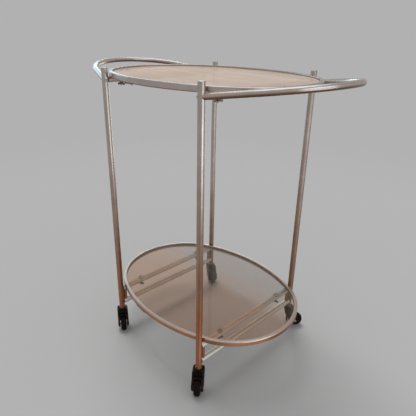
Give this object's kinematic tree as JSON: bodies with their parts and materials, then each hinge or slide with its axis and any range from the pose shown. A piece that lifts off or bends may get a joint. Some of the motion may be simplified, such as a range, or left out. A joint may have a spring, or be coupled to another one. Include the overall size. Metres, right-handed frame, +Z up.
{
  "type": "tea trolley",
  "caption": "Oval tea trolley with glass trays in metal rims, tube legs, bow handles and swivelling castors.",
  "frame": {"origin": "on the floor, midway between the four legs", "axes": "+X along the trolley from handle to handle, +Y across it, +Z up"},
  "size_m": [0.735, 0.4273, 0.7325],
  "materials": {
    "frame_tube": "satin anodised, pale champagne",
    "tray_rim": "satin anodised, pale champagne",
    "tray_glass": "bronze tinted float glass with a ground edge",
    "glazing_seal": "soft black glazing channel",
    "end_plug": "turned, satin",
    "hidden_dowel": "turned beech",
    "steel_screw": "zinc plated",
    "splice_strip": "flat strip, satin",
    "wing_nut": "zinc plated casting",
    "glass_pad": "black rubber",
    "castor_plastic": "black moulded, worn gloss",
    "castor_hub": "black moulded",
    "castor_tyre": "black rubber, scuffed tread",
    "castor_steel": "dulled plating",
    "socket": "thin brass, dulled"
  },
  "bodies": {
    "frame": {"front_left_leg": "frame_tube", "front_right_leg": "frame_tube", "rear_left_leg": "frame_tube", "rear_right_leg": "frame_tube", "leg_end_plugs": "end_plug", "left_handle": "frame_tube", "left_top_crossbar": "frame_tube", "left_bottom_crossbar": "frame_tube", "left_lower_rail": "frame_tube", "right_handle": "frame_tube", "right_top_crossbar": "frame_tube", "right_bottom_crossbar": "frame_tube", "right_lower_rail": "frame_tube", "handle_end_plugs": "hidden_dowel", "handle_screws": "steel_screw", "top_rim": "tray_rim", "top_seal": "glazing_seal", "top_glass": "tray_glass", "top_rim_splice": "splice_strip", "top_splice_screws": "steel_screw", "top_crossbar_dowels": "hidden_dowel", "top_tray_bolts": "steel_screw", "top_glass_pads": "glass_pad", "top_wing_nuts": "wing_nut", "bottom_rim": "tray_rim", "bottom_seal": "glazing_seal", "bottom_glass": "tray_glass", "bottom_rim_splice": "splice_strip", "bottom_splice_screws": "steel_screw", "bottom_crossbar_dowels": "hidden_dowel", "bottom_tray_bolts": "steel_screw", "bottom_glass_pads": "glass_pad", "bottom_wing_nuts": "wing_nut", "rail_dowels": "hidden_dowel", "rail_posts": "frame_tube", "castor_sockets": "socket"},
    "front_left_castor": {"front_left_castor_fork": "castor_plastic", "front_left_castor_stem": "castor_steel", "front_left_castor_axle": "castor_steel"},
    "front_left_wheel": {"front_left_castor_hub": "castor_hub", "front_left_castor_tyre": "castor_tyre"},
    "front_right_castor": {"front_right_castor_fork": "castor_plastic", "front_right_castor_stem": "castor_steel", "front_right_castor_axle": "castor_steel"},
    "front_right_wheel": {"front_right_castor_hub": "castor_hub", "front_right_castor_tyre": "castor_tyre"},
    "rear_left_castor": {"rear_left_castor_fork": "castor_plastic", "rear_left_castor_stem": "castor_steel", "rear_left_castor_axle": "castor_steel"},
    "rear_left_wheel": {"rear_left_castor_hub": "castor_hub", "rear_left_castor_tyre": "castor_tyre"},
    "rear_right_castor": {"rear_right_castor_fork": "castor_plastic", "rear_right_castor_stem": "castor_steel", "rear_right_castor_axle": "castor_steel"},
    "rear_right_wheel": {"rear_right_castor_hub": "castor_hub", "rear_right_castor_tyre": "castor_tyre"}
  },
  "joints": [
    {"name": "front_left_swivel", "type": "hinge", "parent": "frame", "child": "front_left_castor", "pos_m": [-0.1637, -0.181, 0.063], "axis": [0, 0, 1], "continuous": true},
    {"name": "front_left_roll", "type": "hinge", "parent": "front_left_castor", "child": "front_left_wheel", "pos_m": [-0.14378, -0.1925, 0.02], "axis": [0.5, 0.866, 0], "continuous": true},
    {"name": "front_right_swivel", "type": "hinge", "parent": "frame", "child": "front_right_castor", "pos_m": [0.1637, -0.181, 0.063], "axis": [0, 0, 1], "continuous": true},
    {"name": "front_right_roll", "type": "hinge", "parent": "front_right_castor", "child": "front_right_wheel", "pos_m": [0.17848, -0.19862, 0.02], "axis": [0.766, 0.6428, 0], "continuous": true},
    {"name": "rear_left_swivel", "type": "hinge", "parent": "frame", "child": "rear_left_castor", "pos_m": [-0.1637, 0.181, 0.063], "axis": [0, 0, 1], "continuous": true},
    {"name": "rear_left_roll", "type": "hinge", "parent": "rear_left_castor", "child": "rear_left_wheel", "pos_m": [-0.14378, 0.1695, 0.02], "axis": [0.5, 0.866, 0], "continuous": true},
    {"name": "rear_right_swivel", "type": "hinge", "parent": "frame", "child": "rear_right_castor", "pos_m": [0.1637, 0.181, 0.063], "axis": [0, 0, 1], "continuous": true},
    {"name": "rear_right_roll", "type": "hinge", "parent": "rear_right_castor", "child": "rear_right_wheel", "pos_m": [0.18254, 0.19419, 0.02], "axis": [-0.5736, 0.8192, 0], "continuous": true}
  ]
}
